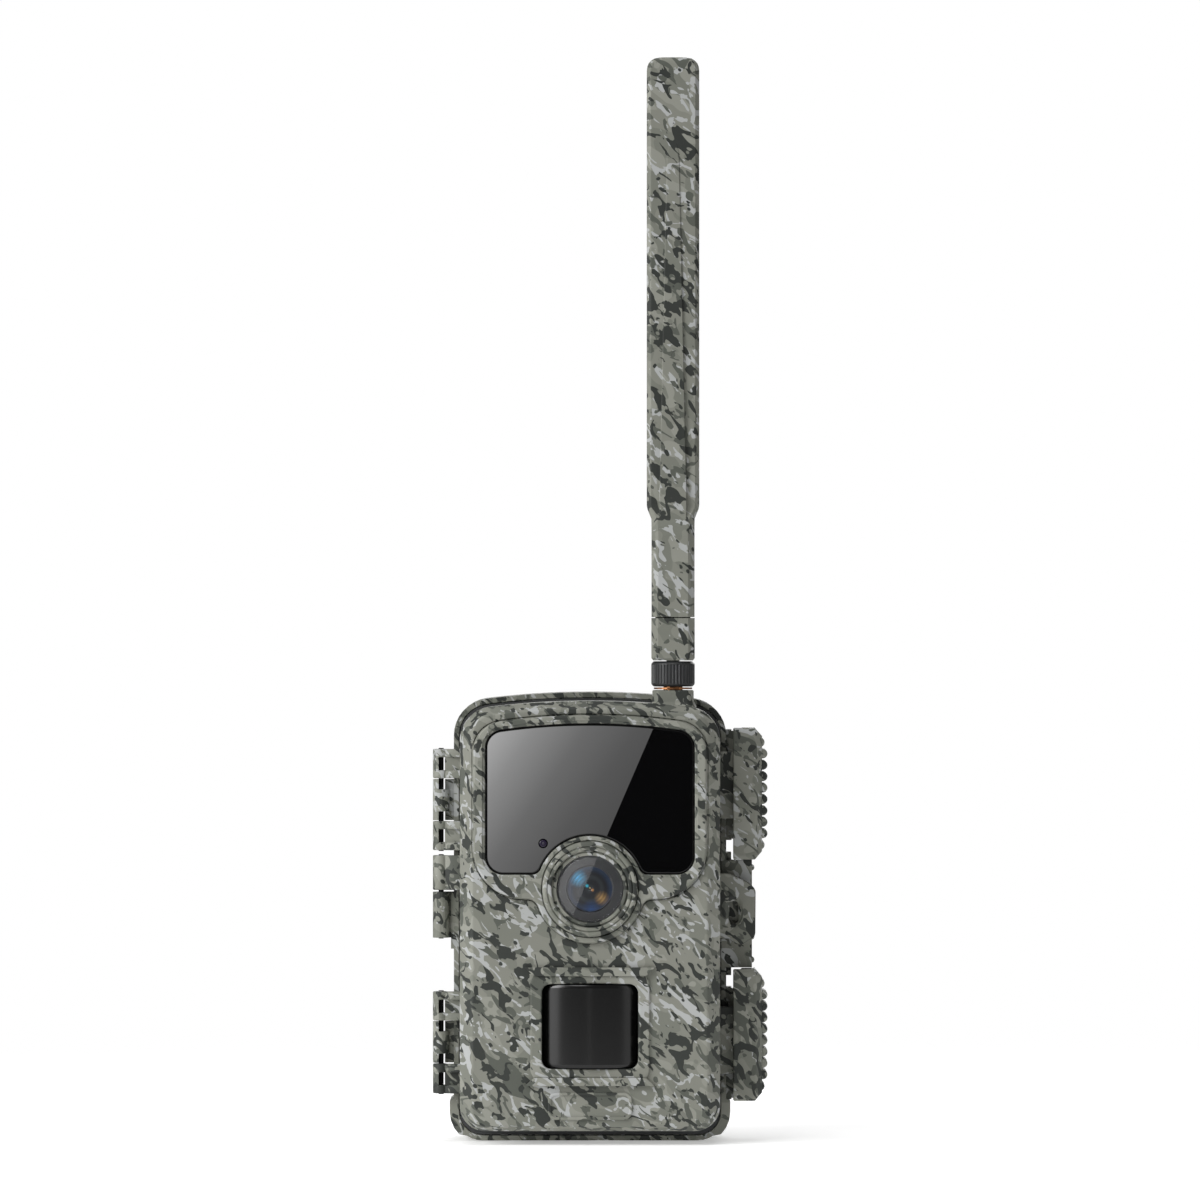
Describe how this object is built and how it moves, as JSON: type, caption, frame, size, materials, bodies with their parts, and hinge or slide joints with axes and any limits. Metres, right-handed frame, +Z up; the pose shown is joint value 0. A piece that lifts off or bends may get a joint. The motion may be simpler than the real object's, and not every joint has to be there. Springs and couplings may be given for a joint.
{
  "type": "trail camera",
  "caption": "Trail camera: hinged camouflage case with infrared panel, lens, motion sensor window, side latches, tree bracket and a folding blade antenna.",
  "frame": {"origin": "on the flat bottom of the rear shell, in the middle of the case's width", "axes": "+Z up along the antenna, -Y out of the front face, +X towards the latches"},
  "size_m": [0.1051, 0.074, 0.3398],
  "materials": {
    "camo_shell": "printed camouflage, satin",
    "bracket": "fine grain",
    "rubber": "matt",
    "brass": "turned",
    "inner_plastic": "fine grain",
    "gloss_black": "polished",
    "board": "solder mask",
    "sensor_window": "polished",
    "lens_glass": "coated",
    "barrel": "matt black",
    "sensor_sheet": "satin",
    "steel": "plain",
    "screen": "polished",
    "nut": "black",
    "switch": "fine grain",
    "card": "satin",
    "cell_can": "printed sleeve"
  },
  "bodies": {
    "rear": {"rear_shell": "camo_shell", "mount_bracket": "bracket", "bracket_screw_1": "steel", "bracket_screw_2": "steel", "tripod_insert": "brass", "battery_tray": "inner_plastic", "battery_1": "cell_can", "battery_2": "cell_can", "battery_3": "cell_can", "battery_4": "cell_can", "battery_5": "cell_can", "battery_6": "cell_can", "battery_7": "cell_can", "battery_8": "cell_can", "spring_contact_1": "steel", "spring_contact_2": "steel", "spring_contact_3": "steel", "spring_contact_4": "steel", "door_gasket": "rubber", "hinge_pin_upper": "steel", "hinge_pin_middle": "steel", "hinge_pin_lower": "steel", "latch_pin_upper": "steel", "latch_pin_lower": "steel"},
    "door": {"front_shell": "camo_shell", "ir_panel": "gloss_black", "led_board": "board", "light_sensor": "sensor_window", "lens_window": "lens_glass", "lens_barrel": "barrel", "lens_element": "lens_glass", "camera_board": "board", "pir_lens": "sensor_sheet", "pir_sensor": "steel", "main_board": "board", "inner_cover": "inner_plastic", "lcd_screen": "screen", "antenna_socket": "brass", "cover_screw_1": "steel", "cover_screw_2": "steel", "cover_screw_3": "steel", "cover_screw_4": "steel"},
    "latch_upper": {"latch_upper": "camo_shell"},
    "latch_lower": {"latch_lower": "camo_shell"},
    "antenna_nut": {"antenna_nut": "nut"},
    "antenna_base": {"antenna_base": "camo_shell", "antenna_pin": "steel"},
    "antenna_blade": {"antenna_blade": "camo_shell"},
    "power_switch": {"power_switch": "switch"},
    "sd_card": {"sd_card": "card"},
    "ir_cut_filter": {"ir_cut_filter": "lens_glass"},
    "button_1": {"button_1": "rubber"},
    "button_2": {"button_2": "rubber"},
    "button_3": {"button_3": "rubber"},
    "button_4": {"button_4": "rubber"},
    "button_5": {"button_5": "rubber"}
  },
  "joints": [
    {"name": "door_hinge", "type": "hinge", "parent": "rear", "child": "door", "pos_m": [-0.0468, -0.008, 0.07], "axis": [0, 0, -1], "range_deg": [0, 110]},
    {"name": "latch_upper_hinge", "type": "hinge", "parent": "rear", "child": "latch_upper", "pos_m": [0.0485, 0.001, 0.10915], "axis": [0, 0, 1], "range_deg": [0, 90]},
    {"name": "latch_lower_hinge", "type": "hinge", "parent": "rear", "child": "latch_lower", "pos_m": [0.0485, 0.001, 0.03345], "axis": [0, 0, 1], "range_deg": [0, 90]},
    {"name": "antenna_nut_spin", "type": "hinge", "parent": "door", "child": "antenna_nut", "pos_m": [0.026, -0.019, 0.1465], "axis": [0, 0, 1], "continuous": true},
    {"name": "antenna_swivel", "type": "hinge", "parent": "door", "child": "antenna_base", "pos_m": [0.026, -0.019, 0.157], "axis": [0, 0, 1], "continuous": true},
    {"name": "antenna_fold", "type": "hinge", "parent": "antenna_base", "child": "antenna_blade", "pos_m": [0.026, -0.01225, 0.1644], "axis": [-1, 0, 0], "range_deg": [0, 90]},
    {"name": "power_switch_slide", "type": "slide", "parent": "door", "child": "power_switch", "axis": [1, 0, 0], "range_m": [0, 0.007]},
    {"name": "sd_card_slide", "type": "slide", "parent": "door", "child": "sd_card", "axis": [0, 0, -1], "range_m": [0, 0.01]},
    {"name": "ir_cut_slide", "type": "slide", "parent": "door", "child": "ir_cut_filter", "axis": [1, 0, 0], "range_m": [0, 0.009]},
    {"name": "button_1_press", "type": "slide", "parent": "door", "child": "button_1", "axis": [0, -1, 0], "range_m": [0, 0.0006], "stiffness_N_per_m": 300, "springref_m": -0.001},
    {"name": "button_2_press", "type": "slide", "parent": "door", "child": "button_2", "axis": [0, -1, 0], "range_m": [0, 0.0006], "stiffness_N_per_m": 300, "springref_m": -0.001},
    {"name": "button_3_press", "type": "slide", "parent": "door", "child": "button_3", "axis": [0, -1, 0], "range_m": [0, 0.0006], "stiffness_N_per_m": 300, "springref_m": -0.001},
    {"name": "button_4_press", "type": "slide", "parent": "door", "child": "button_4", "axis": [0, -1, 0], "range_m": [0, 0.0006], "stiffness_N_per_m": 300, "springref_m": -0.001},
    {"name": "button_5_press", "type": "slide", "parent": "door", "child": "button_5", "axis": [0, -1, 0], "range_m": [0, 0.0006], "stiffness_N_per_m": 300, "springref_m": -0.001}
  ]
}
